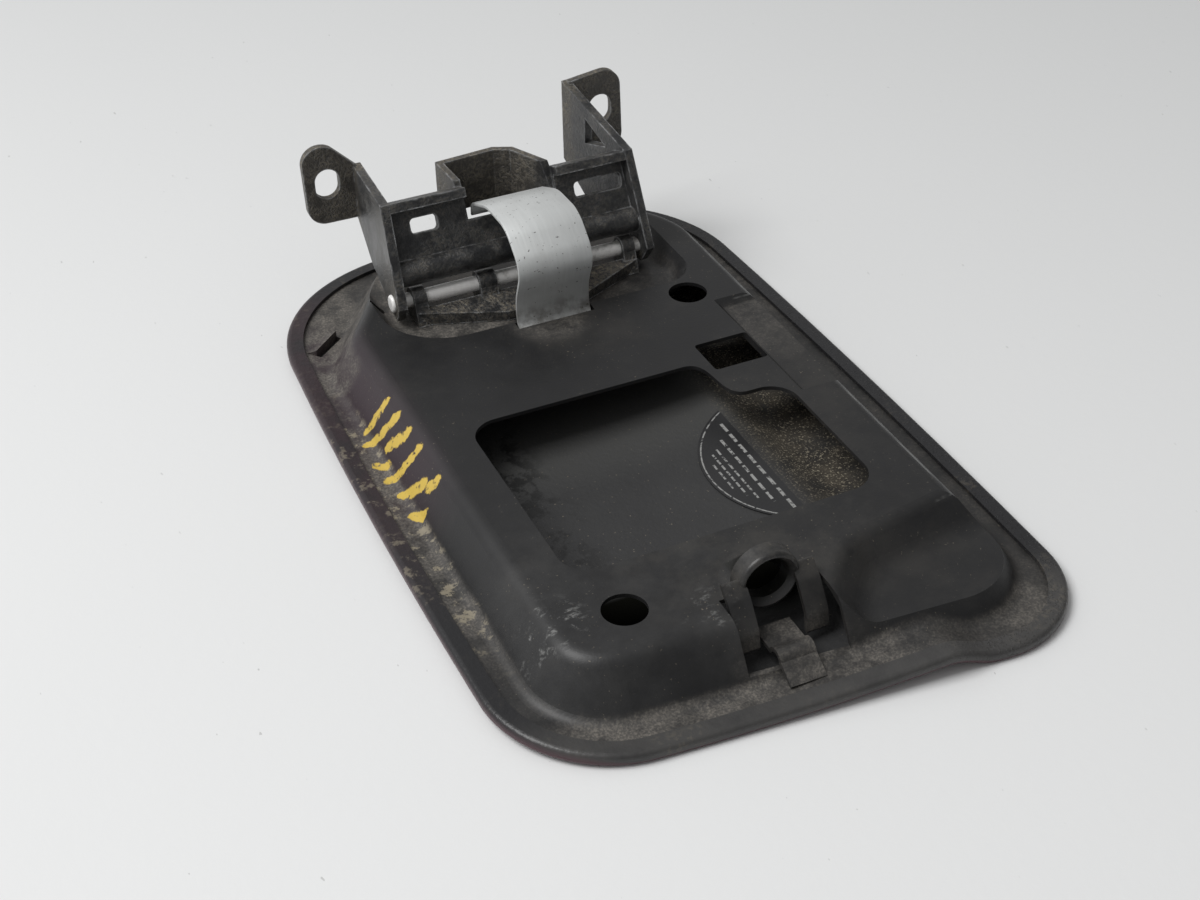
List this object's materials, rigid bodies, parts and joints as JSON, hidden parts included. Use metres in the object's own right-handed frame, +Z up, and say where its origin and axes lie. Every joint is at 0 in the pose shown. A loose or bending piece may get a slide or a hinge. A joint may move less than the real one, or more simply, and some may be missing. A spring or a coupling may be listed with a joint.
{
  "type": "car fuel door",
  "caption": "Hinged fuel door for a car: hemmed steel skin with a drawn inner panel, latch eye, hinge bracket on a pin and a bowed leaf spring.",
  "frame": {"origin": "centre of the door's outline in plan, on the floor under the outer skin", "axes": "+X along the hinge pin, +Y along the door towards the hinge, +Z up from the outer skin to the inner side"},
  "size_m": [0.1328, 0.2176, 0.0505],
  "materials": {
    "skin_paint": "dark maroon metallic paint, dusty",
    "panel_coat": "black satin coat, dusty in the flange",
    "hinge_coat": "dark grey coat with brown dust",
    "pin_steel": "bare bright steel",
    "spring_steel": "satin zinc plate",
    "label_film": "thin printed film"
  },
  "bodies": {
    "door": {"outer_skin": "skin_paint", "inner_panel": "panel_coat", "hinge_base": "hinge_coat", "fuel_label": "label_film", "leaf_spring": "spring_steel"},
    "bracket": {"hinge_bracket": "hinge_coat", "hinge_pin": "pin_steel"}
  },
  "joints": [
    {"name": "flap_hinge", "type": "hinge", "parent": "door", "child": "bracket", "pos_m": [0, 0.0588, 0.0148], "axis": [1, 0, 0], "range_deg": [0, 90], "deforming": ["leaf_spring"]}
  ]
}
